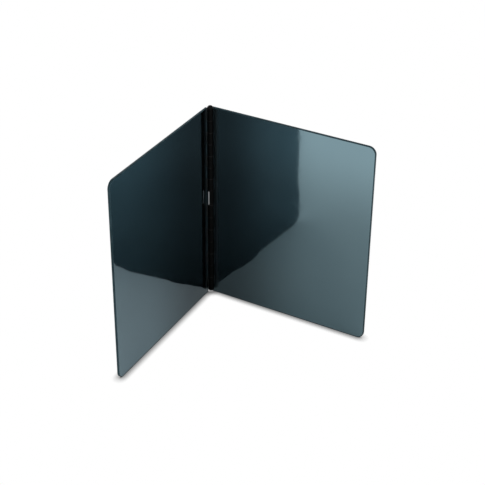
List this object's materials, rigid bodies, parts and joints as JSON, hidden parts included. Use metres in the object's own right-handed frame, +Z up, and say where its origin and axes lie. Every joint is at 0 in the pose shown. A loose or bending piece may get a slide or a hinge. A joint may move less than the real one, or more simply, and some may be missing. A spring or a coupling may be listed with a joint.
{
  "type": "microphone isolation shield",
  "caption": "Free-standing folding shield: two thin glossy dark panels on a full-height barrel hinge, opening like a book around a microphone.",
  "frame": {"origin": "centre of the footprint at rest, on the surface that the shield stands on", "axes": "+Z up along the hinge axis, +X to the right across the open mouth, +Y away from the mouth towards the hinge; the hinge is at the back and the mouth faces -Y"},
  "size_m": [0.3586, 0.1818, 0.3092],
  "materials": {
    "dark_mirror": "polished, slightly wavy dark mirror",
    "damping_sheet": "matte",
    "lipping": "matte",
    "edge_band": "gloss",
    "black_anodised": "matte",
    "steel": "satin",
    "clip_steel": "polished",
    "washer": "matte",
    "cap": "matte"
  },
  "bodies": {
    "left_leaf": {"left_front_skin": "dark_mirror", "left_core": "damping_sheet", "left_core_frame": "lipping", "left_back_skin": "dark_mirror", "left_edge_band": "edge_band", "left_hinge_leaf": "black_anodised", "friction_clip": "clip_steel"},
    "right_leaf": {"right_front_skin": "dark_mirror", "right_core": "damping_sheet", "right_core_frame": "lipping", "right_back_skin": "dark_mirror", "right_edge_band": "edge_band", "right_hinge_leaf": "black_anodised", "hinge_pin": "steel", "knuckle_washers": "washer", "top_cap": "cap", "bottom_cap": "cap"}
  },
  "joints": [
    {"name": "fold", "type": "hinge", "parent": "left_leaf", "child": "right_leaf", "pos_m": [0, 0.08565, 0.1525], "axis": [0, 0, 1], "range_deg": [-88, 92]}
  ]
}
